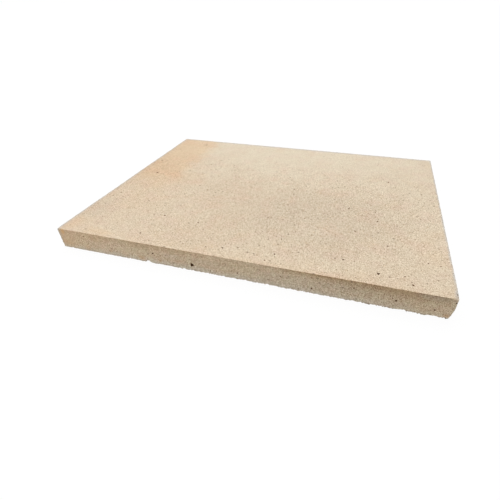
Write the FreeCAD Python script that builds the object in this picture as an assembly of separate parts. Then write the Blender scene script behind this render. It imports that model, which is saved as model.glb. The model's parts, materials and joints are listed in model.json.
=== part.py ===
"""Refractory firebrick in slab form: one pressed and fired piece of fireclay.

Millimetres, +Z up. The origin is the centre of the bed face, the underside that the slab lies on.
+X runs along the length, and the front edge face looks towards -Y.
"""

import os

import FreeCAD
import Part

# Overall size of the slab
SLAB_LENGTH = 500.0
SLAB_WIDTH = 400.0
SLAB_THICKNESS = 30.0

# Upright arrises, seen in plan: three as they left the mould, and the front right one rubbed away
CORNER_RADIUS = 3.0
WORN_CORNER_RADIUS = 5.0

# Long arrises: a fine round along the top face, and a broken edge along the bed face
TOP_ARRIS_RADIUS = 1.0
BED_ARRIS_BEVEL = 1.5

# Two heights nearer than this are the same level
SAME_LEVEL = 0.001


def plan_corners():
    """The four corners of the plan, anticlockwise from the front left, each with its radius."""
    half_length = SLAB_LENGTH / 2
    half_width = SLAB_WIDTH / 2
    return [
        (FreeCAD.Vector(-half_length, -half_width, 0), CORNER_RADIUS),
        (FreeCAD.Vector(half_length, -half_width, 0), WORN_CORNER_RADIUS),
        (FreeCAD.Vector(half_length, half_width, 0), CORNER_RADIUS),
        (FreeCAD.Vector(-half_length, half_width, 0), CORNER_RADIUS),
    ]


def corner_arc(before, corner, after, radius):
    """The start, middle and end of the arc that rounds a square corner of the plan."""
    towards_before = (before - corner).normalize()
    towards_after = (after - corner).normalize()
    centre = corner + (towards_before + towards_after) * radius
    start = corner + towards_before * radius
    middle = centre + (corner - centre).normalize() * radius
    end = corner + towards_after * radius
    return start, middle, end


def plan_outline():
    """The slab's rounded rectangle on the bed plane, as one closed wire."""
    corners = plan_corners()
    count = len(corners)
    arcs = []
    for index, (corner, radius) in enumerate(corners):
        before = corners[index - 1][0]
        after = corners[(index + 1) % count][0]
        arcs.append(corner_arc(before, corner, after, radius))
    edges = []
    for index, (start, middle, end) in enumerate(arcs):
        next_start = arcs[(index + 1) % count][0]
        edges.append(Part.Arc(start, middle, end).toShape())
        edges.append(Part.LineSegment(end, next_start).toShape())
    return Part.Wire(edges)


def edges_at(solid, height):
    """The edges of a solid that lie wholly at one height."""
    return [
        edge
        for edge in solid.Edges
        if abs(edge.BoundBox.ZMin - height) < SAME_LEVEL and abs(edge.BoundBox.ZMax - height) < SAME_LEVEL
    ]


def firebrick_slab():
    """The slab's block, with its top arris rounded and its bed arris broken."""
    block = Part.Face(plan_outline()).extrude(FreeCAD.Vector(0, 0, SLAB_THICKNESS))
    eased = block.makeFillet(TOP_ARRIS_RADIUS, edges_at(block, SLAB_THICKNESS))
    return eased.makeChamfer(BED_ARRIS_BEVEL, edges_at(eased, 0))


def main():
    os.makedirs("parts", exist_ok=True)
    slab = firebrick_slab()
    slab.exportStep("parts/firebrick_slab.step")
    box = slab.optimalBoundingBox()
    size = f"{box.XLength:.2f} x {box.YLength:.2f} x {box.ZLength:.2f} mm"
    print(f"firebrick_slab: {size}, {slab.Volume / 1e6:.4f} litres")


main()
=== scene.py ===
"""Refractory firebrick slab: one pressed and fired piece of fireclay on a plain pale floor.

Metres, +Z up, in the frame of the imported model, with the front edge face towards -Y.
"""

import json
import math
import random
from collections import namedtuple

import bmesh
import bpy
import numpy as np
from mathutils import Color, Matrix, Vector

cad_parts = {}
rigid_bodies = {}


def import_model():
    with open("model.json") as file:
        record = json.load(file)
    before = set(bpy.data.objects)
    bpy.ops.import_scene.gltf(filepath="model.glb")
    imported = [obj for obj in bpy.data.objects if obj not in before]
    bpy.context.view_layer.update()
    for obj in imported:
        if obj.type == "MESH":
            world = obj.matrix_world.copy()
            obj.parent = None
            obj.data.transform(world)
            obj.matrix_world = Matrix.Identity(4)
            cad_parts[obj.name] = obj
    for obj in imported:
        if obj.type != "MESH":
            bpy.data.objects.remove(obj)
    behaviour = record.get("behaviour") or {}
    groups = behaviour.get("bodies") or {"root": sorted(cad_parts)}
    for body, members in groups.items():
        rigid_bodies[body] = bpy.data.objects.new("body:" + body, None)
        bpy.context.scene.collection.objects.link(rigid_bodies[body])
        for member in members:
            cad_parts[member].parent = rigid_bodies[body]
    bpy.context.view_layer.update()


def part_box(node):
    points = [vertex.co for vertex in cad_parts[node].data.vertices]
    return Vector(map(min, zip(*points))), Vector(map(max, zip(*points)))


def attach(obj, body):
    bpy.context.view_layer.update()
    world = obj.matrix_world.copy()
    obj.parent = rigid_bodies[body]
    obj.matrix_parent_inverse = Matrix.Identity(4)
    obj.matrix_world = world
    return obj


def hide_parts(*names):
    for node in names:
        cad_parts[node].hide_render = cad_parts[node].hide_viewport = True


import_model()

bl_info = {
    "name": "Refractory Firebrick Slab",
    "version": (1, 0, 0),
    "blender": (4, 5, 0),
    "location": "View3D > Sidebar > Firebrick",
    "description": "Builds a fired fireclay slab with its pores, chips and mottled finish",
    "category": "Add Mesh",
}

MM = 0.001
SLAB_NODE = "firebrick_slab"
SLAB_LOW, SLAB_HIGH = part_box(SLAB_NODE)
SLAB_SIZE = SLAB_HIGH - SLAB_LOW
SLAB_CENTRE = (SLAB_LOW + SLAB_HIGH) / 2
HALF_LENGTH = SLAB_SIZE.x / 2
HALF_WIDTH = SLAB_SIZE.y / 2
THICKNESS = SLAB_SIZE.z

# Two places nearer than this are the same
SAME_PLACE = 0.01 * MM

# The mesh within this many arris sizes of an edge face gets the finer cells
ARRIS_MARGIN = 1.5

# Relief: the margin where the waves of the large faces die out, and how far in the rest of it reaches
FACE_MARGIN = 8 * MM
EDGE_SKIN = 1.5 * MM
TOP_ARRIS_REACH = 2 * MM
BED_ARRIS_REACH = 5 * MM

# Where more or less of the bed arris has crumbled than usual, how far that reaches, and the parts lost
WORN_CORNER = Vector((SLAB_HIGH.x, SLAB_LOW.y, SLAB_LOW.z))
WORN_REACH = 250 * MM
SHARP_FOOT = Vector((SLAB_LOW.x + 25 * MM, SLAB_LOW.y, SLAB_LOW.z))
SHARP_REACH = 90 * MM
USUAL_LOSS = 0.65
WORN_LOSS = 0.75
SHARP_SAVING = 0.6

# Blow holes that stand out on the top face: X, Y and width in millimetres
TOP_PITS = (
    (170, -179, 3.6),
    (206, -189, 2.8),
    (205, -184, 1.5),
    (50, -175, 2.9),
    (42, -190, 2.4),
    (-125, -126, 3.1),
    (-133, -178, 2.5),
    (179, -119, 2.5),
    (130, -163, 2.3),
    (165, -60, 2.6),
    (177, 78, 3.2),
    (-215, 11, 3.6),
    (-237, 68, 3.2),
    (34, 10, 2.6),
    (-231, -77, 2.4),
    (-70, -132, 2.4),
    (-15, -180, 2.3),
    (-36, -184, 2.0),
    (138, -94, 2.4),
    (124, -32, 2.7),
    (161, -34, 2.3),
    (-136, 32, 2.6),
    (-137, 73, 2.8),
    (-54, 68, 2.4),
    (-100, -31, 2.2),
    (-67, -185, 1.6),
    (50, -140, 2.4),
    (68, -79, 2.1),
    (3, -174, 1.9),
    (-167, -73, 2.0),
    (-190, 173, 3.6),
    (198, -176, 1.9),
    (237, -145, 2.0),
    (224, -143, 1.9),
    (226, 43, 2.8),
)

# Blow holes that stand out on the front edge face: X, Z and width in millimetres
FRONT_PITS = (
    (248.6, 24.5, 2.2),
    (-208, 24, 2.0),
    (-104, 17, 2.9),
    (185, 18.6, 1.3),
    (188, 16.5, 1.4),
    (192, 13.8, 2.5),
    (231, 11.0, 2.0),
    (101, 9, 2.6),
    (-25, 6.3, 2.0),
    (64, 18, 1.8),
    (11, 10.6, 1.8),
    (-76, 8, 1.6),
    (147, 20, 1.7),
)

# How many blow holes the hidden faces have, and the start of their random draws
HIDDEN_PITS = {"bed": 36, "back": 12, "left": 9, "right": 9}
HIDDEN_SEED = 4

# Chips that stand out along the front bed arris: X, width and reach from the arris in millimetres
BED_CHIPS = (
    (-114, 8.5, 5.4),
    (-62, 5.0, 3.6),
    (48, 5.0, 3.7),
    (198.5, 16.0, 3.5),
    (202, 5.0, 4.0),
    (232, 17.0, 3.4),
)

# Breaks at the foot or the head of the front corners, in millimetres: which way along X and Z the corner
# lies, and how far the break reaches along the front face, along the side face and along the upright arris
CORNER_BREAKS = (
    (1, -1, 5.0, 9.5, 20.0),
    (-1, -1, 4.8, 2.9, 34.0),
    (1, 1, 5.5, 26.0, 2.0),
    (-1, 1, 3.0, 5.0, 1.4),
)

# Tinted patches of the clay, some of them painted light or shade as marked: middle and reach along X, Y and Z
# in metres, strength, and which colour
FACE_TINTS = (
    ((0.08, -0.07, 0.03), (0.17, 0.12, 0.03), 0.8, "dull"),
    ((-0.24, -0.13, 0.03), (0.04, 0.05, 0.03), 0.8, "dull"),
    # Paler cream over the back of the top face: partly the clay's tone, partly painted sheen at the grazing
    # back
    ((0.0, 0.20, 0.03), (0.5, 0.24, 0.08), 1.0, "pale"),
    ((-0.15, -0.06, 0.03), (0.09, 0.17, 0.03), 0.15, "pale"),
    ((0.26, -0.05, 0.03), (0.08, 0.25, 0.03), 0.4, "pale"),
    ((-0.185, -0.075, 0.03), (0.07, 0.08, 0.03), 0.2, "flash"),
    ((-0.245, -0.18, 0.03), (0.03, 0.035, 0.02), 0.5, "flash"),
    ((-0.172, 0.06, 0.03), (0.03, 0.08, 0.03), 0.3, "pale"),
    ((-0.155, 0.005, 0.03), (0.05, 0.05, 0.03), 0.3, "flash"),
    ((-0.188, -0.194, 0.03), (0.035, 0.014, 0.02), 0.5, "flash"),
    ((-0.248, -0.11, 0.03), (0.014, 0.11, 0.02), 0.35, "flash"),
    ((0.227, -0.115, 0.03), (0.03, 0.06, 0.03), 0.18, "flash"),
    ((0.05, -0.2, 0.03), (0.40, 0.03, 0.02), 0.15, "flash"),
    ((-0.018, -0.188, 0.03), (0.035, 0.018, 0.02), 0.35, "pale"),
    ((0.11, -0.182, 0.03), (0.035, 0.016, 0.02), 0.35, "pale"),
    ((0.083, -0.11, 0.03), (0.045, 0.03, 0.03), 0.3, "pale"),
    ((0.0, -0.197, 0.031), (0.3, 0.005, 0.006), 0.2, "flash"),
    ((-0.12, -0.197, 0.031), (0.2, 0.005, 0.006), 0.3, "pale"),
    # Paler, greyer strip along the back rim of the top face
    ((0.0, 0.2, 0.03), (0.5, 0.014, 0.02), 0.45, "back_rim_pale"),
    # Painted light and shade: paler grey on the worn facet at the front right corner
    ((0.25, -0.194, 0.03), (0.006, 0.016, 0.01), 0.5, "rim_shading"),
    # Painted shade: grey line of the rounded left top arris
    ((-0.2445, 0.0, 0.03), (0.006, 0.6, 0.01), 0.17, "arris_shade"),
)

# Tinted patches that only the edge faces have, some of them painted light or shade as marked
EDGE_TINTS = (
    ((-0.25, -0.2, 0.015), (0.06, 0.03, 0.04), 0.5, "flash"),
    ((-0.205, -0.2, 0.024), (0.025, 0.02, 0.007), 0.25, "flash"),
    ((-0.2415, -0.2, 0.0265), (0.004, 0.01, 0.006), 0.7, "amber"),
    # Painted shade: grey rim of the rounded front left upright arris
    ((-0.25, -0.2, 0.015), (0.006, 0.006, 0.03), 0.6, "arris_shade"),
    ((-0.12, -0.2, 0.031), (0.14, 0.02, 0.012), 0.3, "scorch"),
    ((0.12, -0.2, 0.03), (0.10, 0.02, 0.0045), 0.6, "scorch"),
    ((0.19, -0.2, 0.031), (0.15, 0.02, 0.016), 0.63, "scorch"),
    # Painted shade: grey on the rounded top arris near the front right corner
    ((0.23, -0.2, 0.028), (0.03, 0.02, 0.008), 0.3, "arris_shade"),
    ((0.15, -0.2, 0.02), (0.06, 0.02, 0.012), 0.75, "dull"),
    # Painted light: the right end of the front face is made paler and warmer where its rounded corner turns
    # to the light
    ((0.238, -0.2, 0.008), (0.03, 0.02, 0.015), 0.2, "flash"),
    ((0.237, -0.2, 0.010), (0.03, 0.02, 0.012), 0.35, "pale"),
    # Painted light: a lighter band on the rounded front right upright arris
    ((0.25, -0.2, 0.014), (0.008, 0.008, 0.03), 0.7, "pale"),
    ((0.08, -0.2, 0.014), (0.10, 0.02, 0.014), 0.35, "bloom"),
    ((-0.03, -0.2, 0.017), (0.05, 0.02, 0.008), 0.2, "bloom"),
    ((0.0, -0.2, 0.0), (0.5, 0.02, 0.013), 0.9, "bloom"),
    ((0.03, -0.2, 0.03), (0.08, 0.02, 0.008), 0.55, "dull"),
    ((-0.206, -0.2, 0.0075), (0.007, 0.01, 0.005), 0.3, "rust"),
    ((-0.169, -0.2, 0.0075), (0.005, 0.01, 0.004), 0.3, "rust"),
    ((-0.122, -0.2, 0.007), (0.008, 0.01, 0.005), 0.4, "rust"),
    ((-0.095, -0.2, 0.007), (0.005, 0.01, 0.004), 0.4, "rust"),
    ((0.185, -0.2, 0.009), (0.035, 0.02, 0.008), 0.35, "bloom"),
    ((-0.078, -0.2, 0.017), (0.02, 0.02, 0.007), 0.3, "bloom"),
    ((0.162, -0.2, 0.0245), (0.05, 0.02, 0.008), 0.22, "scorch"),
    ((-0.064, -0.2, 0.028), (0.022, 0.02, 0.006), 0.2, "scorch"),
    ((-0.124, -0.2, 0.022), (0.022, 0.02, 0.006), 0.18, "scorch"),
    ((-0.191, -0.2, 0.022), (0.009, 0.01, 0.005), 0.35, "scorch"),
    ((-0.238, -0.2, 0.008), (0.013, 0.02, 0.009), 0.2, "rust"),
    ((-0.146, -0.2, 0.007), (0.011, 0.01, 0.006), 0.2, "rust"),
    ((0.243, -0.2, 0.006), (0.004, 0.01, 0.004), 0.55, "rust"),
    ((0.0, 0.2, 0.0), (0.5, 0.02, 0.013), 0.7, "bloom"),
    ((-0.25, 0.0, 0.0), (0.02, 0.19, 0.013), 0.7, "bloom"),
    ((0.25, 0.0, 0.0), (0.02, 0.19, 0.013), 0.7, "bloom"),
    ((-0.1, 0.2, 0.031), (0.2, 0.02, 0.014), 0.4, "scorch"),
    ((0.25, 0.05, 0.031), (0.02, 0.17, 0.012), 0.35, "scorch"),
    ((-0.25, 0.05, 0.02), (0.02, 0.2, 0.03), 0.5, "flash"),
)

# Patches where the grain stands out more or less than elsewhere: middle, reach and change of its contrast
GRAIN_PATCHES = (
    ((-0.25, -0.2, 0.015), (0.035, 0.03, 0.04), -0.4),
    ((-0.2, -0.19, 0.035), (0.14, 0.09, 0.02), -0.2),
    ((0.11, -0.03, 0.03), (0.16, 0.17, 0.03), 0.2),
    ((0.25, -0.2, 0.035), (0.06, 0.12, 0.02), -0.12),
    ((0.15, -0.2, 0.02), (0.06, 0.02, 0.02), 0.25),
)

# The large three-cornered blow hole of the front edge face: place, then width, length and depth, then turn
BLOW_HOLE = Vector((-49.5 * MM, SLAB_LOW.y, 10.6 * MM))
BLOW_HOLE_SIZE = (6.5 * MM, 6.4 * MM, 6 * MM)
BLOW_HOLE_TURN = math.radians(-90)

# Ranges of a blow hole's or pore's length and depth, as parts of its width
PIT_LENGTHS = (0.7, 1.0)
PIT_DEPTHS = (0.55, 0.8)
PORE_LENGTHS = (0.6, 1.0)
PORE_DEPTHS = (0.4, 0.7)

# Ranges of the hidden blow holes: places as parts of a face's half sizes, and widths in millimetres
HIDDEN_ALONG = (-0.95, 0.95)
HIDDEN_ACROSS = (-0.7, 0.8)
HIDDEN_WIDTHS = (1.4, 3.2)

# Pores keep this far from each other, and a higher power makes more of them small
PORE_SPACING = 3.2 * MM
PORE_POWER = 3

# Ranges of the small chips and fine nicks, in millimetres: width, and reach past the bed bevel
CHIP_WIDTHS = (2.2, 4.5)
CHIP_REACHES = (0.6, 1.8)
NICK_WIDTHS = (1.4, 2.6)
NICK_REACHES = (0.8, 2.2)

# Parts of a half length: where the chips stop, and where the front's nicks are closest together
ARRIS_END = 0.98
NICK_CROWD = 0.9

# Rounds in which overlapping chips are cut, and kinds of lump to cut with
CHIP_ROUNDS = 4
LUMP_KINDS = 4

# The block that slices the corners off: half its depth, and its width
SLICER_DEPTH = 20 * MM
SLICER_WIDTH = 3 * SLICER_DEPTH

# Left, right and back rims of the top face, greyed as painted shading of their rounded arrises: axis, where
# the grey starts and is full, and its strength
SHADED_RIMS = (
    ("X", SLAB_LOW.x + 5 * MM, SLAB_LOW.x + 1 * MM, 0.8),
    ("X", SLAB_HIGH.x - 3.6 * MM, SLAB_HIGH.x - 1 * MM, 0.7),
    ("Y", SLAB_HIGH.y - 8 * MM, SLAB_HIGH.y - 2 * MM, 0.6),
)

# How much each of red, green and blue changes with the grain: light grains are greyer than dark ones
GRAIN_TINT = (0.81, 1.0, 1.18)

# Contrast of the grain and the specks, its fading towards the back, and changes on the edge faces
GRAIN_CONTRAST = 0.84
GRAIN_FADE = 0.38
EDGE_GRAIN_GAIN = 0.2
EDGE_SPECK_LOSS = 0.3

# Strength of the rust spots, and how much is added to it on the edge faces
RUST = 0.2
EDGE_RUST = 0.3

# Sockets of the Mix node when it mixes colours
MIX_FACTOR = 0
MIX_FIRST = 6
MIX_SECOND = 7
MIX_RESULT = 2

# A face of the slab: its middle, its half sizes in two directions along it, and its normal
SlabFace = namedtuple("SlabFace", "middle along across normal")


def number(name, description, default, **options):
    """A number in the panel."""
    return bpy.props.FloatProperty(name=name, description=description, default=default, **options)


def millimetres(name, description, default):
    """A length in the panel, with its default in millimetres."""
    return number(name, description, default * MM, unit="LENGTH")


def degrees(name, description, default):
    """An angle in the panel, with its default in degrees."""
    return number(name, description, math.radians(default), subtype="ANGLE")


def whole_number(name, description, default):
    """A whole number in the panel."""
    return bpy.props.IntProperty(name=name, description=description, default=default)


def rgb(name, description, default):
    """A colour in the panel."""
    return bpy.props.FloatVectorProperty(
        name=name, description=description, default=default, subtype="COLOR", min=0, max=1
    )


class FirebrickShape(bpy.types.PropertyGroup):
    """Sizes of the slab's edges, relief, chips and pores."""

    corner_radius: millimetres("Corner Radius", "Round of three upright arrises", 0.8)
    worn_corner_radius: millimetres("Worn Corner Radius", "Round of the front right upright arris", 3.2)
    top_arris_radius: millimetres("Top Arris Radius", "Round along the top face", 0.6)
    bed_arris_bevel: millimetres("Bed Arris Bevel", "Bevel along the bed face, before it crumbles", 1.4)
    face_cell: millimetres("Face Cell", "Size of the mesh cells on the large faces", 5)
    edge_cell_cuts: whole_number("Edge Cell Cuts", "Cuts that divide each cell again on the edge faces", 3)
    face_wave: millimetres("Face Wave", "Depth of the slow waves on the large faces", 0.3)
    edge_grain: millimetres("Edge Grain", "Depth of the coarse grain on the edge faces", 0.14)
    bed_arris_loss: millimetres("Bed Arris Loss", "Depth that crumbles from the bed arris", 2.0)
    top_arris_loss: millimetres("Top Arris Loss", "Depth that is nicked from the top arris", 0.25)
    chip_count: whole_number("Chips", "Small chips along the whole bed arris", 150)
    nick_count: whole_number("Nicks", "Fine nicks along the whole bed arris", 280)
    face_pore_count: whole_number("Face Pores", "Small pores in each large face", 220)
    edge_pore_count: whole_number("Edge Pores", "Small pores in each long edge face", 45)
    pore_low: millimetres("Smallest Pore", "Width of the smallest pores", 0.7)
    pore_high: millimetres("Largest Pore", "Width of the largest scattered pores", 1.8)
    seed: whole_number("Seed", "Start of the random draws", 11)


class FirebrickColours(bpy.types.PropertyGroup):
    """Colours of the fired clay."""

    body: rgb("Body", "Buff of the fired clay", (0.555, 0.450, 0.325))
    pale: rgb("Pale", "Cream of the palest clay", (0.622, 0.537, 0.404))
    dull: rgb("Dull", "Darker beige in the middle of the top face", (0.515, 0.423, 0.310))
    flash: rgb("Flash", "Peach where the fire flashed the clay", (0.575, 0.413, 0.263))
    amber: rgb("Amber", "Orange of the spot by the left upright arris", (0.62, 0.37, 0.16))
    ember: rgb("Ember", "Tint of the strip that lay open to the fire", (1.0, 0.89, 0.785))
    edge: rgb("Edge", "Tint that makes the edge faces browner", (0.99, 0.966, 0.871))
    # Painted shade: grey on the rounded arrises that turn away from the light
    arris_shade: rgb("Arris Shade", "Grey where hands have rubbed the arrises", (0.36, 0.33, 0.30))
    # Painted shading: pale grey on the rounded top arrises and on the worn facet at the front right corner
    rim_shading: rgb("Rim Shading", "Pale grey along the rubbed top arris", (0.46, 0.435, 0.40))
    # A paler, greyer strip along the back rim of the top face
    back_rim_pale: rgb("Back Rim Pale", "Chalky dust along the back of the top face", (0.62, 0.56, 0.47))
    bloom: rgb("Bloom", "Grey bloom along the foot of the edge faces", (0.555, 0.498, 0.418))
    rose: rgb("Rose", "Tint of the rosy mottle", (1.0, 0.955, 0.975))
    # Painted shade: darkens the foot of the edge faces, where the slab's contact shadow falls
    foot_shade_tint: rgb("Foot Shade", "Tint of the bed arris, grey with dirt", (0.84, 0.84, 0.86))
    scorch: rgb("Scorch", "Brown along the hottest arris", (0.355, 0.235, 0.122))
    speck: rgb("Speck", "Dark grains and pinholes", (0.19, 0.13, 0.08))
    rust: rgb("Rust", "Rust spots of iron in the clay", (0.50, 0.30, 0.14))
    # Partly the clay's colour in the blow holes, partly painted shade that darkens them
    pore_colour_and_shade: rgb("Pore", "Lining of the blow holes", (0.20, 0.075, 0.02))


class FirebrickStage(bpy.types.PropertyGroup):
    """Camera, floor and light."""

    lens: number("Lens", "Focal length on a 36 mm sensor", 26.545, unit="CAMERA")
    azimuth: degrees("Azimuth", "Camera's turn to the right of the front", 18.625)
    elevation: degrees("Elevation", "Camera's height above the horizon", 34.368)
    roll: degrees("Roll", "Camera's lean", -1.194)
    distance: millimetres("Distance", "From the camera to the point it looks at", 451.7)
    aim: bpy.props.FloatVectorProperty(
        name="Aim", description="Point that the camera looks at", default=(19.2 * MM, -175.1 * MM, 30 * MM),
        subtype="TRANSLATION", unit="LENGTH"
    )
    floor: rgb("Floor", "Colour of the floor, besides its glow", (0.04, 0.04, 0.04))
    floor_glow: number("Floor Glow", "Light of the floor itself, which keeps its shadow faint", 0.96)
    sky: number("Sky", "Strength of the even light", 0.15)
    key: number("Key", "Strength of the broad light overhead", 3.7)
    side: number("Side", "Power of the soft light at the left of the camera", 2.0, unit="POWER")


def select_edges(piece, wanted):
    """Selects, in edit mode, the edges that pass a test and nothing else."""
    bpy.ops.mesh.select_mode(type="EDGE")
    bpy.ops.mesh.select_all(action="DESELECT")
    mesh = bmesh.from_edit_mesh(piece.data)
    for edge in mesh.edges:
        if wanted(edge):
            edge.select_set(True)
    bmesh.update_edit_mesh(piece.data)


def edge_span(edge):
    """The size of an edge along X, Y and Z."""
    span = edge.verts[1].co - edge.verts[0].co
    return Vector((abs(span.x), abs(span.y), abs(span.z)))


def is_upright(edge):
    """Whether an edge stands over the whole thickness of the slab."""
    return edge_span(edge).z > THICKNESS - SAME_PLACE


def at_worn_corner(edge):
    """Whether an upright edge stands at the front right corner."""
    place = edge.verts[0].co
    return place.x > HALF_LENGTH - SAME_PLACE and place.y < -HALF_WIDTH + SAME_PLACE


def lies_at(edge, height):
    """Whether an edge lies wholly at one height."""
    return all(abs(vertex.co.z - height) < SAME_PLACE for vertex in edge.verts)


def edge_depth(place):
    """How far a point lies inside the nearest of the four edge faces."""
    return min(HALF_LENGTH - abs(place.x), HALF_WIDTH - abs(place.y))


def on_edge_face(edge, shape):
    """Whether an edge of the mesh lies on one of the slab's four edge faces or their arrises."""
    inset = ARRIS_MARGIN * max(shape.top_arris_radius, shape.bed_arris_bevel)
    return all(edge_depth(vertex.co) < inset for vertex in edge.verts)


def ease_arrises(piece, shape):
    """Rounds the upright arrises, the worn one more, then the top arris and the bed arris."""
    select_edges(piece, lambda edge: is_upright(edge) and not at_worn_corner(edge))
    bpy.ops.mesh.bevel(offset=shape.corner_radius, segments=4, affect="EDGES")
    select_edges(piece, lambda edge: is_upright(edge) and at_worn_corner(edge))
    bpy.ops.mesh.bevel(offset=shape.worn_corner_radius, segments=4, affect="EDGES")
    select_edges(piece, lambda edge: lies_at(edge, SLAB_HIGH.z))
    bpy.ops.mesh.bevel(offset=shape.top_arris_radius, segments=3, affect="EDGES")
    select_edges(piece, lambda edge: lies_at(edge, SLAB_LOW.z))
    bpy.ops.mesh.bevel(offset=shape.bed_arris_bevel, segments=2, profile=0.3, affect="EDGES")


def divide_into_cells(piece, shape):
    """Divides the faces into square cells, and those of the edge faces again."""
    for axis in range(3):
        long_enough = SLAB_SIZE[axis] * 0.8
        cuts = round(SLAB_SIZE[axis] / shape.face_cell) - 1
        select_edges(piece, lambda edge: edge_span(edge)[axis] > long_enough)
        bpy.ops.mesh.subdivide(number_cuts=cuts)
    whole_cell = shape.face_cell * 0.7
    select_edges(piece, lambda edge: edge.calc_length() > whole_cell and on_edge_face(edge, shape))
    bpy.ops.mesh.subdivide(number_cuts=shape.edge_cell_cuts)


def deselect():
    """Clears the selection of objects."""
    bpy.ops.object.select_all(action="DESELECT")


def press_block(shape):
    """The slab as it leaves the mould: a block with eased arrises, in cells that are ready for relief."""
    deselect()
    bpy.ops.mesh.primitive_cube_add(size=1, location=SLAB_CENTRE, scale=SLAB_SIZE)
    slab = bpy.context.object
    slab.name = "fired_slab"
    slab.data.name = "fired_slab"
    bpy.ops.object.transform_apply(location=True, rotation=True, scale=True)
    bpy.ops.object.mode_set(mode="EDIT")
    ease_arrises(slab, shape)
    divide_into_cells(slab, shape)
    bpy.ops.object.mode_set(mode="OBJECT")
    return slab


def wear_away(slab, name, weight_at, depth, lump, octaves):
    """Takes up to a depth off the surface, in lumps of a size, where the weight is above zero."""
    group = slab.vertex_groups.new(name=name)
    for vertex in slab.data.vertices:
        weight = weight_at(vertex.co)
        if weight > 0:
            group.add([vertex.index], weight, "REPLACE")
    lumps = bpy.data.textures.new(name, "CLOUDS")
    lumps.noise_scale = lump
    lumps.noise_depth = octaves
    lumps.contrast = 2.5
    lumps.use_clamp = True
    wear = slab.modifiers.new(name, "DISPLACE")
    wear.texture = lumps
    wear.texture_coords = "LOCAL"
    wear.vertex_group = name
    wear.mid_level = 1.0
    wear.strength = depth
    bpy.ops.object.modifier_apply(modifier=name)


def fade(distance, reach):
    """One at no distance, falling evenly to zero at the reach."""
    return max(0.0, 1.0 - distance / reach)


def crumbling(place):
    """How much of the bed arris is lost: most towards the worn corner, least at the left end in front."""
    nearness = fade((WORN_CORNER - place).length, WORN_REACH)
    sharpness = fade((SHARP_FOOT - place).length, SHARP_REACH)
    return USUAL_LOSS + WORN_LOSS * nearness ** 2 - SHARP_SAVING * sharpness


def face_wave_weight(place):
    """One over the large faces, falling to zero at their margins."""
    return 1.0 - fade(edge_depth(place), FACE_MARGIN)


def edge_grain_weight(place):
    """One on the edge faces, falling to zero just inside them."""
    return fade(edge_depth(place), EDGE_SKIN)


def top_arris_weight(place):
    """One at the top arris, falling to zero away from it."""
    return fade(SLAB_HIGH.z - place.z + max(0.0, edge_depth(place)), TOP_ARRIS_REACH)


def bed_arris_weight(place):
    """The part that crumbles at the bed arris, falling to zero away from it."""
    return crumbling(place) * fade(place.z - SLAB_LOW.z + max(0.0, edge_depth(place)), BED_ARRIS_REACH)


def give_relief(slab, shape):
    """The waves of the large faces, the grain of the edge faces and the crumbled arrises."""
    wear_away(slab, "face_waves", face_wave_weight, shape.face_wave, lump=70 * MM, octaves=1)
    wear_away(slab, "edge_grain", edge_grain_weight, shape.edge_grain, lump=3 * MM, octaves=2)
    wear_away(slab, "top_arris", top_arris_weight, shape.top_arris_loss, lump=4 * MM, octaves=1)
    wear_away(slab, "bed_arris", bed_arris_weight, shape.bed_arris_loss, lump=2.8 * MM, octaves=3)


def take_rough_shape(cuts, roughness, seed):
    """Divides and roughens the active object, returns its points and triangles, and removes it."""
    shape = bpy.context.object
    bpy.ops.object.mode_set(mode="EDIT")
    bpy.ops.mesh.select_all(action="SELECT")
    if cuts:
        bpy.ops.mesh.subdivide(number_cuts=cuts)
    bpy.ops.transform.vertex_random(offset=roughness, uniform=1.0, seed=seed)
    bpy.ops.mesh.quads_convert_to_tris()
    bpy.ops.object.mode_set(mode="OBJECT")
    points = np.array([vertex.co for vertex in shape.data.vertices])
    faces = np.array([face.vertices for face in shape.data.polygons])
    bpy.data.objects.remove(shape)
    return points, faces


def model_lump(divisions, roughness, seed):
    """The points and faces of one irregular lump, about a unit across."""
    deselect()
    bpy.ops.mesh.primitive_ico_sphere_add(subdivisions=divisions, radius=0.5)
    return take_rough_shape(cuts=0, roughness=roughness, seed=seed)


def model_wedge():
    """The points and faces of a three-cornered wedge, about a unit across, that points down."""
    deselect()
    bpy.ops.mesh.primitive_cone_add(vertices=3, radius1=0.4, radius2=0.75, depth=1.0)
    return take_rough_shape(cuts=1, roughness=0.06, seed=3)


def model_slicer():
    """The points and faces of a rough-faced block, a unit across, that slices corners off."""
    deselect()
    bpy.ops.mesh.primitive_cube_add(size=1)
    return take_rough_shape(cuts=14, roughness=0.012, seed=5)


def new_object(name, data):
    """A new object in the scene."""
    item = bpy.data.objects.new(name, data)
    bpy.context.scene.collection.objects.link(item)
    return item


def join_lumps(name, lumps):
    """One mesh object of many lumps: each is (points, faces) and a matrix that sets its size and place."""
    points = []
    faces = []
    count = 0
    for (lump_points, lump_faces), matrix in lumps:
        matrix = np.array(matrix)
        points.append(lump_points @ matrix[:3, :3].T + matrix[:3, 3])
        faces.append(lump_faces + count)
        count += len(lump_points)
    mesh = bpy.data.meshes.new(name)
    mesh.from_pydata(np.concatenate(points).tolist(), [], np.concatenate(faces).tolist())
    return new_object(name, mesh)


def cut_away(slab, cutter, finish):
    """Cuts a joined mesh of lumps out of the slab and gives the cut faces a finish."""
    cutter.data.materials.append(finish)
    deselect()
    bpy.context.view_layer.objects.active = slab
    slab.select_set(True)
    cut = slab.modifiers.new(cutter.name, "BOOLEAN")
    cut.object = cutter
    cut.operation = "DIFFERENCE"
    cut.solver = "MANIFOLD"
    cut.material_mode = "TRANSFER"
    bpy.ops.object.modifier_apply(modifier=cut.name)
    bpy.data.objects.remove(cutter)


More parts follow.
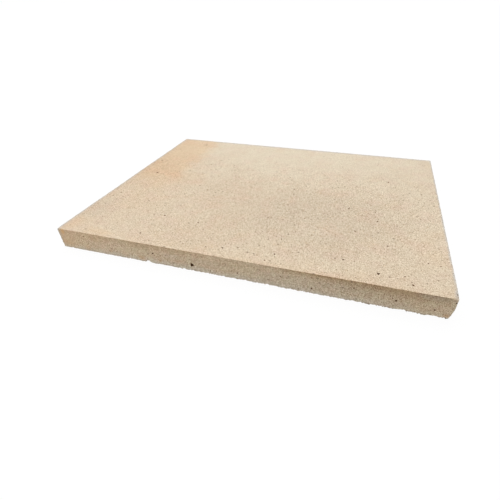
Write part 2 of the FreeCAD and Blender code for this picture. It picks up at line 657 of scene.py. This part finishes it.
def slab_faces():
    """The slab's faces by name."""
    along_x = Vector((HALF_LENGTH, 0, 0))
    along_y = Vector((0, HALF_WIDTH, 0))
    along_z = Vector((0, 0, THICKNESS / 2))
    return {
        "top": SlabFace(SLAB_CENTRE + along_z, along_x, along_y, along_z.normalized()),
        "bed": SlabFace(SLAB_CENTRE - along_z, along_x, along_y, -along_z.normalized()),
        "front": SlabFace(SLAB_CENTRE - along_y, along_x, along_z, -along_y.normalized()),
        "back": SlabFace(SLAB_CENTRE + along_y, along_x, along_z, along_y.normalized()),
        "left": SlabFace(SLAB_CENTRE - along_x, along_y, along_z, -along_x.normalized()),
        "right": SlabFace(SLAB_CENTRE + along_x, along_y, along_z, along_x.normalized()),
    }


def sink_lump(place, normal, width, length, depth, spin):
    """The matrix that sets a unit lump half into a face: width and length along the face, and depth."""
    turn = normal.to_track_quat("Z", "Y").to_matrix() @ Matrix.Rotation(spin, 3, "Z")
    size = Matrix.Diagonal((width, length, 2 * depth)).to_3x3()
    return Matrix.Translation(place) @ (turn @ size).to_4x4()


def hidden_pits(faces):
    """Blow holes of the faces that no picture shows: place, normal and width."""
    draw = random.Random(HIDDEN_SEED)
    pits = []
    for name, count in HIDDEN_PITS.items():
        face = faces[name]
        for _ in range(count):
            along = face.along * draw.uniform(*HIDDEN_ALONG)
            across = face.across * draw.uniform(*HIDDEN_ACROSS)
            width = draw.uniform(*HIDDEN_WIDTHS) * MM
            pits.append((face.middle + along + across, face.normal, width))
    return pits


def large_pits(lumps, draw):
    """The blow holes that stand out, and the hidden ones, as lumps to cut."""
    faces = slab_faces()
    pits = []
    for x, y, width in TOP_PITS:
        pits.append((Vector((x * MM, y * MM, SLAB_HIGH.z)), faces["top"].normal, width * MM))
    for x, z, width in FRONT_PITS:
        pits.append((Vector((x * MM, SLAB_LOW.y, z * MM)), faces["front"].normal, width * MM))
    wedge_matrix = sink_lump(BLOW_HOLE, faces["front"].normal, *BLOW_HOLE_SIZE, BLOW_HOLE_TURN)
    cuts = [(model_wedge(), wedge_matrix)]
    for place, normal, width in pits + hidden_pits(faces):
        length = width * draw.uniform(*PIT_LENGTHS)
        depth = width * draw.uniform(*PIT_DEPTHS)
        matrix = sink_lump(place, normal, width, length, depth, draw.uniform(0, math.tau))
        cuts.append((draw.choice(lumps), matrix))
    return cuts


def clear_of_arrises(place, normal, margin):
    """Whether a point of a face lies further than a margin from the arrises around that face."""
    gaps = [
        half - abs(offset)
        for half, offset, facing in zip(SLAB_SIZE / 2, place - SLAB_CENTRE, normal)
        if round(facing) == 0
    ]
    return min(gaps) > margin


def scattered_pores(shape, lumps, taken, draw):
    """Small pores scattered over every face, clear of the cuts that are there already."""
    end_pore_count = round(shape.edge_pore_count * HALF_WIDTH / HALF_LENGTH)
    counts = {
        "top": shape.face_pore_count,
        "bed": shape.face_pore_count,
        "front": shape.edge_pore_count,
        "back": shape.edge_pore_count,
        "left": end_pore_count,
        "right": end_pore_count,
    }
    places = [matrix.translation for _, matrix in taken]
    cuts = []
    for name, face in slab_faces().items():
        for _ in range(counts[name]):
            width = shape.pore_low + (shape.pore_high - shape.pore_low) * draw.random() ** PORE_POWER
            place = face.middle + face.along * draw.uniform(-1, 1) + face.across * draw.uniform(-1, 1)
            length = width * draw.uniform(*PORE_LENGTHS)
            depth = width * draw.uniform(*PORE_DEPTHS)
            matrix = sink_lump(place, face.normal, width, length, depth, draw.uniform(0, math.tau))
            lump = draw.choice(lumps)
            near_arris = not clear_of_arrises(place, face.normal, shape.pore_high)
            if near_arris or any((place - other).length < PORE_SPACING for other in places):
                continue
            places.append(place)
            cuts.append((lump, matrix))
    return cuts


def corner_breaks():
    """Flat breaks at the front corners, as blocks to cut."""
    slicer = model_slicer()
    breaks = []
    for side, end, along_front, along_side, height in CORNER_BREAKS:
        corner = Vector((side * HALF_LENGTH, SLAB_LOW.y, SLAB_CENTRE.z + end * THICKNESS / 2))
        slope = Vector((side / along_front, -1 / along_side, end / height)) / MM
        outward = slope.normalized()
        middle = corner + outward * (SLICER_DEPTH - 1 / slope.length)
        breaks.append((slicer, sink_lump(middle, outward, SLICER_WIDTH, SLICER_WIDTH, SLICER_DEPTH, 0)))
    return breaks


def bed_arris_at(face, share):
    """The point of the bed arris below an edge face, at a share of its half length from the middle."""
    return face.middle - face.across + face.along * share


def sink_chip(arris, face, width, reach):
    """The matrix that sets a unit lump into the bed arris below an edge face."""
    outward = (face.normal + slab_faces()["bed"].normal).normalized()
    return sink_lump(arris, outward, width, 2 * reach, reach, 0)


def arris_chips(shape, lumps, draw):
    """Chips along the bed arris, as lumps to cut: those that stand out along the front, then small ones."""
    faces = slab_faces()
    chips = []
    for x, width, reach in BED_CHIPS:
        arris = Vector((x * MM, SLAB_LOW.y, SLAB_LOW.z))
        chips.append((draw.choice(lumps), sink_chip(arris, faces["front"], width * MM, reach * MM)))
    for _ in range(shape.chip_count):
        face = faces[draw.choice(("front", "back", "left", "right"))]
        arris = bed_arris_at(face, draw.uniform(-ARRIS_END, ARRIS_END))
        width = draw.uniform(*CHIP_WIDTHS) * MM
        reach = shape.bed_arris_bevel + draw.uniform(*CHIP_REACHES) * MM
        chips.append((draw.choice(lumps), sink_chip(arris, face, width, reach)))
    return chips


def arris_nicks(shape, lumps, draw):
    """Fine nicks along the bed arris, as lumps to cut: closest together towards the worn corner in front."""
    faces = slab_faces()
    nicks = []
    for _ in range(shape.nick_count):
        side = draw.choice(("front", "front", "back", "left", "right"))
        if side == "front":
            share = draw.triangular(-ARRIS_END, ARRIS_END, NICK_CROWD)
        else:
            share = draw.uniform(-ARRIS_END, ARRIS_END)
        arris = bed_arris_at(faces[side], share)
        width = draw.uniform(*NICK_WIDTHS) * MM
        reach = shape.bed_arris_bevel + draw.uniform(*NICK_REACHES) * MM
        nicks.append((draw.choice(lumps), sink_chip(arris, faces[side], width, reach)))
    return nicks


def around_slab(cut):
    """The direction of a cut from the slab's middle."""
    _, matrix = cut
    return math.atan2(matrix.translation.y, matrix.translation.x)


def clear_crumbs(slab):
    """Deletes the loose crumbs that the cuts left: all that isn't joined to the highest point."""
    bpy.ops.object.mode_set(mode="EDIT")
    bpy.ops.mesh.select_mode(type="VERT")
    bpy.ops.mesh.select_all(action="DESELECT")
    mesh = bmesh.from_edit_mesh(slab.data)
    highest = max(mesh.verts, key=lambda vertex: vertex.co.z)
    highest.select_set(True)
    bpy.ops.mesh.select_linked()
    bpy.ops.mesh.select_all(action="INVERT")
    bpy.ops.mesh.delete(type="VERT")
    bpy.ops.object.mode_set(mode="OBJECT")


def break_and_pit(slab, shape, lining):
    """Cuts the corner breaks, then the chips and nicks of the bed arris, then the blow holes and pores."""
    draw = random.Random(shape.seed)
    small_lumps = [model_lump(divisions=1, roughness=0.16, seed=kind) for kind in range(LUMP_KINDS)]
    large_lumps = [model_lump(divisions=2, roughness=0.10, seed=kind) for kind in range(LUMP_KINDS)]
    clay = slab.data.materials[0]
    for index, corner_break in enumerate(corner_breaks()):
        cut_away(slab, join_lumps(f"corner_break_{index}", [corner_break]), clay)
    chips = arris_chips(shape, large_lumps, draw)
    chips += arris_nicks(shape, small_lumps, random.Random(shape.seed))
    chips.sort(key=around_slab)
    for start in range(CHIP_ROUNDS):
        cut_away(slab, join_lumps(f"chips_{start}", chips[start::CHIP_ROUNDS]), clay)
    pits = large_pits(large_lumps, draw)
    pores = scattered_pores(shape, small_lumps, pits, draw)
    cut_away(slab, join_lumps("pores", pits + pores), lining)
    clear_crumbs(slab)


def level_normals(slab):
    """Shades gentle bends smooth, and keeps the large faces flat up to their arrises."""
    bpy.ops.object.shade_smooth_by_angle(angle=math.radians(40))
    level = slab.modifiers.new("level_normals", "WEIGHTED_NORMAL")
    level.keep_sharp = True
    bpy.ops.object.modifier_apply(modifier=level.name)


class Finish:
    """A material under construction, with short ways to add the nodes used here."""

    def __init__(self, name):
        self.material = bpy.data.materials.new(name)
        self.material.use_nodes = True
        self.tree = self.material.node_tree
        self.shader = self.tree.nodes["Principled BSDF"]
        self.place = self.tree.nodes.new("ShaderNodeTexCoord").outputs["Object"]

    def add(self, kind, inputs, output, **settings):
        """Adds a node, sets it up, links or sets its inputs, and returns one of its outputs."""
        node = self.tree.nodes.new(kind)
        for name, value in settings.items():
            setattr(node, name, value)
        for key, value in inputs.items():
            self.feed(node.inputs[key], value)
        return node.outputs[output]

    def feed(self, socket, value):
        """Links a socket to another node's output, or sets its own value: a colour with full alpha."""
        if isinstance(value, bpy.types.NodeSocket):
            self.tree.links.new(value, socket)
        elif isinstance(value, Color):
            socket.default_value = (*value, 1)
        else:
            socket.default_value = value

    def math(self, operation, first, second=0.0, third=0.0):
        """The result of an operation on one to three numbers."""
        return self.add("ShaderNodeMath", {0: first, 1: second, 2: third}, 0, operation=operation)

    def product(self, first, second):
        """Two numbers multiplied."""
        return self.math("MULTIPLY", first, second)

    def axis(self, name):
        """The place along X, Y or Z."""
        return self.add("ShaderNodeSeparateXYZ", {0: self.place}, name)

    def noise(self, size, detail, roughness=0.5):
        """Cloudy noise with features of a size in metres, from 0 to 1 about 0.5."""
        inputs = {"Vector": self.place, "Scale": 1 / size, "Detail": detail, "Roughness": roughness}
        return self.add("ShaderNodeTexNoise", inputs, "Fac")

    def cells(self, size, output):
        """Irregular cells of a size in metres: the distance to the middle of each, or a colour of its own."""
        return self.add("ShaderNodeTexVoronoi", {"Vector": self.place, "Scale": 1 / size}, output)

    def rise(self, value, start, end):
        """A smooth step from 0 at the start to 1 at the end."""
        inputs = {"Value": value, "From Min": start, "From Max": end}
        return self.add("ShaderNodeMapRange", inputs, "Result", interpolation_type="SMOOTHSTEP")

    def clouds(self, size, detail, start, end, strength):
        """Soft clouds: 0 where noise is below the start, up to the strength where it is above the end."""
        return self.product(self.rise(self.noise(size, detail), start, end), strength)

    def mix(self, factor, first, second, blend="MIX"):
        """Mixes two colours."""
        inputs = {MIX_FACTOR: factor, MIX_FIRST: first, MIX_SECOND: second}
        return self.add("ShaderNodeMix", inputs, MIX_RESULT, data_type="RGBA", blend_type=blend)

    def patch(self, middle, reach, border):
        """A soft patch with a ragged border: 1 at its middle, 0 past its reach along X, Y and Z."""
        inputs = {"Vector": self.place, "Location": middle, "Scale": reach}
        mapped = self.add("ShaderNodeMapping", inputs, "Vector", vector_type="TEXTURE")
        ragged = self.add("ShaderNodeVectorMath", {0: mapped, 1: border}, "Vector", operation="ADD")
        ball = self.add("ShaderNodeTexGradient", {"Vector": ragged}, "Fac", gradient_type="SPHERICAL")
        return self.rise(ball, start=0.0, end=0.8)

    def ragged_border(self, size, amount):
        """Noise about zero that makes the borders of patches ragged, as a part of their reach."""
        inputs = {"Vector": self.place, "Scale": 1 / size, "Detail": 3.0}
        noise = self.add("ShaderNodeTexNoise", inputs, "Color")
        inputs = {0: noise, 1: (0.5, 0.5, 0.5)}
        centred = self.add("ShaderNodeVectorMath", inputs, "Vector", operation="SUBTRACT")
        return self.add("ShaderNodeVectorMath", {0: centred, "Scale": amount}, "Vector", operation="SCALE")

    def roughen(self, height, strength, distance):
        """Gives the surface fine bumps of a height that is scaled to a distance in metres."""
        inputs = {"Height": height, "Strength": strength, "Distance": distance}
        self.feed(self.shader.inputs["Normal"], self.add("ShaderNodeBump", inputs, "Normal"))


def edge_face_mask(clay):
    """One on the four edge faces and where they are broken, zero on the large faces."""
    ends = clay.rise(clay.math("ABSOLUTE", clay.axis("X")), HALF_LENGTH - 0.8 * MM, HALF_LENGTH - 0.3 * MM)
    sides = clay.rise(clay.math("ABSOLUTE", clay.axis("Y")), HALF_WIDTH - 0.8 * MM, HALF_WIDTH - 0.3 * MM)
    off_middle = clay.math("ABSOLUTE", clay.math("SUBTRACT", clay.axis("Z"), SLAB_CENTRE.z))
    broken = clay.rise(off_middle, THICKNESS / 2 - 0.5 * MM, THICKNESS / 2 - 1.5 * MM)
    return clay.math("MAXIMUM", clay.math("MAXIMUM", ends, sides), broken)


def shaded_rim_mask(clay):
    """Where the top arris is greyed as painted shading of its rounding: broadly left and behind, finely
    right, and not in front.
    """
    rim = 0.0
    for axis, start, full, strength in SHADED_RIMS:
        inward = clay.rise(clay.axis(axis), start, full)
        rim = clay.math("MAXIMUM", rim, clay.product(inward, strength))
    high = clay.rise(clay.axis("Z"), SLAB_HIGH.z - 2.5 * MM, SLAB_HIGH.z - 0.8 * MM)
    patches = clay.clouds(size=14 * MM, detail=3.0, start=0.35, end=0.6, strength=0.6)
    uneven = clay.math("ADD", patches, 0.5)
    return clay.product(clay.product(rim, high), uneven)


def flashed_strip_mask(clay):
    """One on the strip along the left end that lay open to the fire, from the back to the middle."""
    wander = clay.math("MULTIPLY_ADD", clay.noise(size=18 * MM, detail=3.0), 40 * MM, -20 * MM)
    across = clay.rise(clay.math("ADD", clay.axis("X"), wander), start=-150 * MM, end=-190 * MM)
    along = clay.rise(clay.math("ADD", clay.axis("Y"), wander), start=-70 * MM, end=20 * MM)
    return clay.product(across, along)


def speck_mask(clay, cell, small, large, share):
    """Specks in a share of the cells of a size, each with a radius between two parts of its cell."""
    distance = clay.cells(cell, "Distance")
    chance = clay.add("ShaderNodeSeparateColor", {0: clay.cells(cell, "Color")}, "Green")
    inputs = {"Value": chance, "From Min": 1 - share, "From Max": 1.0, "To Min": small, "To Max": large}
    radius = clay.add("ShaderNodeMapRange", inputs, "Result")
    inside = clay.math("SUBTRACT", radius, distance)
    there = clay.math("GREATER_THAN", chance, 1 - share)
    return clay.product(clay.rise(inside, start=-0.03, end=0.05), there)


def tinted(clay, colours, colour, tints, border, mask):
    """A colour with tinted patches laid over it in turn, where the mask is above zero."""
    for middle, reach, strength, name in tints:
        patch = clay.product(clay.patch(middle, reach, border), strength)
        colour = clay.mix(clay.product(patch, mask), colour, getattr(colours, name))
    return colour


def weathered_colour(clay, colours, border, edge):
    """The clay's colour before its grain: mottle, tints, bloom, painted shade at the foot, painted shading of
    the top arrises, and rust.
    """
    mottle = clay.clouds(size=70 * MM, detail=3.0, start=0.35, end=0.7, strength=0.3)
    colour = clay.mix(mottle, colours.body, colours.pale)
    colour = tinted(clay, colours, colour, FACE_TINTS, border, mask=1.0)
    blush = clay.clouds(size=22 * MM, detail=4.0, start=0.45, end=0.75, strength=0.2)
    colour = clay.mix(blush, colour, colours.flash)
    rosy = clay.clouds(size=24 * MM, detail=3.0, start=0.42, end=0.68, strength=0.8)
    colour = clay.mix(rosy, colour, colours.rose, "MULTIPLY")
    colour = clay.mix(flashed_strip_mask(clay), colour, colours.ember, "MULTIPLY")
    colour = tinted(clay, colours, colour, EDGE_TINTS, border, mask=edge)
    colour = clay.mix(edge, colour, colours.edge, "MULTIPLY")
    tinge = clay.clouds(size=8 * MM, detail=2.0, start=0.38, end=0.62, strength=edge)
    colour = clay.mix(tinge, colour, colours.rose, "MULTIPLY")
    # Painted shade: the edge faces grow darker and greyer towards the foot, where the contact shadow falls
    painted_foot_shade = clay.product(clay.rise(clay.axis("Z"), start=4 * MM, end=2 * MM), edge)
    colour = clay.mix(painted_foot_shade, colour, colours.foot_shade_tint, "MULTIPLY")
    # Painted shading of the rounded top arrises
    colour = clay.mix(shaded_rim_mask(clay), colour, colours.rim_shading)
    spots = speck_mask(clay, cell=7 * MM, small=0.08, large=0.26, share=0.4)
    rusty = clay.math("MULTIPLY_ADD", edge, EDGE_RUST, RUST)
    return clay.mix(clay.product(spots, rusty), colour, colours.rust)


def grain_contrast(clay, border):
    """How much the grain and the specks stand out: less towards the back, more or less in patches."""
    behind = clay.rise(clay.axis("Y"), start=30 * MM, end=160 * MM)
    contrast = clay.math("MULTIPLY_ADD", behind, -GRAIN_FADE, GRAIN_CONTRAST)
    for middle, reach, change in GRAIN_PATCHES:
        contrast = clay.math("MULTIPLY_ADD", clay.patch(middle, reach, border), change, contrast)
    return contrast


def grainy(clay, colour, grain, contrast):
    """A colour made lighter and darker by the grain."""
    uneven = clay.product(clay.math("SUBTRACT", grain, 0.5), contrast)
    inputs = {0: uneven, 1: GRAIN_TINT, 2: (1, 1, 1)}
    shade = clay.add("ShaderNodeVectorMath", inputs, "Vector", operation="MULTIPLY_ADD")
    return clay.mix(1.0, colour, shade, "MULTIPLY")


def fireclay_finish(colours):
    """Fired fireclay: mottled buff, flashed peach in places, with salt and pepper grain and dark specks."""
    clay = Finish("fired_fireclay")
    edge = edge_face_mask(clay)
    border = clay.ragged_border(size=40 * MM, amount=0.7)
    contrast = grain_contrast(clay, border)
    grain = clay.add("ShaderNodeSeparateColor", {0: clay.cells(0.65 * MM, "Color")}, "Red")
    colour = weathered_colour(clay, colours, border, edge)
    colour = grainy(clay, colour, grain, clay.math("MULTIPLY_ADD", edge, EDGE_GRAIN_GAIN, contrast))
    specks = speck_mask(clay, cell=2.8 * MM, small=0.11, large=0.28, share=0.5)
    blots = speck_mask(clay, cell=9 * MM, small=0.07, large=0.16, share=0.6)
    dark = clay.math("MAXIMUM", specks, blots)
    speckled = clay.math("MULTIPLY_ADD", edge, -EDGE_SPECK_LOSS, contrast)
    colour = clay.mix(clay.product(dark, speckled), colour, colours.speck)
    roughness = clay.math("MULTIPLY_ADD", grain, 0.15, 0.78)
    clay.feed(clay.shader.inputs["Base Color"], colour)
    clay.feed(clay.shader.inputs["Roughness"], roughness)
    height = clay.math("SUBTRACT", clay.noise(size=0.5 * MM, detail=2.0, roughness=0.6), dark)
    clay.roughen(height, strength=0.6, distance=0.25 * MM)
    return clay.material


def lining_finish(colours):
    """Dark lining of the blow holes, uneven from one to the next: partly the clay's colour in the holes,
    partly painted shade.
    """
    lining = Finish("pore_lining_and_shade")
    scorched = lining.clouds(size=9 * MM, detail=3.0, start=0.35, end=0.7, strength=0.35)
    colour = lining.mix(scorched, colours.pore_colour_and_shade, colours.scorch)
    lining.feed(lining.shader.inputs["Base Color"], colour)
    lining.shader.inputs["Roughness"].default_value = 0.95
    lining.shader.inputs["Specular IOR Level"].default_value = 0.1
    lining.roughen(lining.noise(size=0.5 * MM, detail=3.0), strength=0.5, distance=0.2 * MM)
    return lining.material


def add_floor(stage):
    """A wide plain floor, which glows so that the slab's shadow on it stays faint."""
    deselect()
    bpy.ops.mesh.primitive_plane_add(size=400, location=(0, 0, SLAB_LOW.z))
    floor = bpy.context.object
    floor.name = "floor"
    paint = bpy.data.materials.new("pale_floor")
    paint.use_nodes = True
    shader = paint.node_tree.nodes["Principled BSDF"]
    shader.inputs["Base Color"].default_value = (*stage.floor, 1)
    shader.inputs["Roughness"].default_value = 1.0
    shader.inputs["Specular IOR Level"].default_value = 0.0
    shader.inputs["Emission Color"].default_value = (1, 1, 1, 1)
    shader.inputs["Emission Strength"].default_value = stage.floor_glow
    floor.data.materials.append(paint)


def add_sky(stage):
    """An even white sky, which lights the slab less brightly than the camera sees it."""
    world = bpy.data.worlds.new("soft_sky")
    world.use_nodes = True
    tree = world.node_tree
    backdrop = tree.nodes["Background"]
    backdrop.inputs["Color"].default_value = (1, 1, 1, 1)
    seen = tree.nodes.new("ShaderNodeLightPath").outputs["Is Camera Ray"]
    strength = tree.nodes.new("ShaderNodeMapRange")
    strength.inputs["To Min"].default_value = stage.sky
    tree.links.new(seen, strength.inputs["Value"])
    tree.links.new(strength.outputs["Result"], backdrop.inputs["Strength"])
    bpy.context.scene.world = world
    bpy.context.scene.view_settings.view_transform = "Standard"


def add_lights(stage):
    """A broad light overhead, and a soft one at the left of the camera for the front edge face."""
    lamp = bpy.data.lights.new("broad_light", "SUN")
    lamp.energy = stage.key
    lamp.angle = math.radians(80)
    broad = new_object("broad_light", lamp)
    broad.rotation_euler = (math.radians(-25), math.radians(-10), 0)
    panel = bpy.data.lights.new("side_light", "AREA")
    panel.energy = stage.side
    panel.size = 0.4
    side = new_object("side_light", panel)
    side.location = (-0.6, -0.8, 0.3)
    side.visible_camera = False
    side.rotation_euler = (SLAB_CENTRE - side.location).to_track_quat("-Z", "Y").to_euler()


def add_camera(stage):
    """The camera at the photograph's angle, with its aim point in the middle of a square picture."""
    level = Vector((math.cos(stage.azimuth), math.sin(stage.azimuth), 0))
    outward = Vector((math.sin(stage.azimuth), -math.cos(stage.azimuth), 0))
    back = outward * math.cos(stage.elevation) + Vector((0, 0, math.sin(stage.elevation)))
    upward = back.cross(level)
    turn = Matrix((level, upward, back)).transposed() @ Matrix.Rotation(stage.roll, 3, "Z")
    lens = bpy.data.cameras.new("camera")
    lens.lens = stage.lens
    lens.clip_start = 0.01
    lens.clip_end = 1000
    camera = new_object("camera", lens)
    camera.matrix_world = Matrix.Translation(Vector(stage.aim) + back * stage.distance) @ turn.to_4x4()
    bpy.context.scene.camera = camera


class FIREBRICK_OT_fire_slab(bpy.types.Operator):
    """Press, wear and fire the slab"""

    bl_idname = "firebrick.fire_slab"
    bl_label = "Fire Slab"
    bl_options = {"REGISTER", "UNDO"}

    def execute(self, context):
        shape = context.scene.firebrick_shape
        colours = context.scene.firebrick_colours
        slab = press_block(shape)
        slab.data.materials.append(fireclay_finish(colours))
        give_relief(slab, shape)
        break_and_pit(slab, shape, lining_finish(colours))
        level_normals(slab)
        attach(slab, "root")
        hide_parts(SLAB_NODE)
        return {"FINISHED"}


class FIREBRICK_OT_set_stage(bpy.types.Operator):
    """Lay the floor and set the light and the camera"""

    bl_idname = "firebrick.set_stage"
    bl_label = "Set Stage"
    bl_options = {"REGISTER", "UNDO"}

    def execute(self, context):
        stage = context.scene.firebrick_stage
        add_floor(stage)
        add_sky(stage)
        add_lights(stage)
        add_camera(stage)
        return {"FINISHED"}


class FIREBRICK_PT_sidebar(bpy.types.Panel):
    """Sizes, colours and stage of the slab"""

    bl_idname = "FIREBRICK_PT_sidebar"
    bl_label = "Firebrick"
    bl_space_type = "VIEW_3D"
    bl_region_type = "UI"
    bl_category = "Firebrick"

    def draw(self, context):
        layout = self.layout
        scene = context.scene
        for group in (scene.firebrick_shape, scene.firebrick_colours, scene.firebrick_stage):
            for name in group.__annotations__:
                layout.prop(group, name)
        for operator in OPERATORS:
            layout.operator(operator.bl_idname)


GROUPS = (FirebrickShape, FirebrickColours, FirebrickStage)
OPERATORS = (FIREBRICK_OT_fire_slab, FIREBRICK_OT_set_stage)
CLASSES = (*GROUPS, *OPERATORS, FIREBRICK_PT_sidebar)


def register():
    """Adds the classes and the settings."""
    for each in CLASSES:
        bpy.utils.register_class(each)
    bpy.types.Scene.firebrick_shape = bpy.props.PointerProperty(type=FirebrickShape)
    bpy.types.Scene.firebrick_colours = bpy.props.PointerProperty(type=FirebrickColours)
    bpy.types.Scene.firebrick_stage = bpy.props.PointerProperty(type=FirebrickStage)


def unregister():
    """Takes the settings and the classes away."""
    del bpy.types.Scene.firebrick_stage
    del bpy.types.Scene.firebrick_colours
    del bpy.types.Scene.firebrick_shape
    for each in reversed(CLASSES):
        bpy.utils.unregister_class(each)


def main():
    """Builds the slab and its stage."""
    register()
    bpy.ops.firebrick.fire_slab()
    bpy.ops.firebrick.set_stage()


if __name__ == "__main__":
    main()
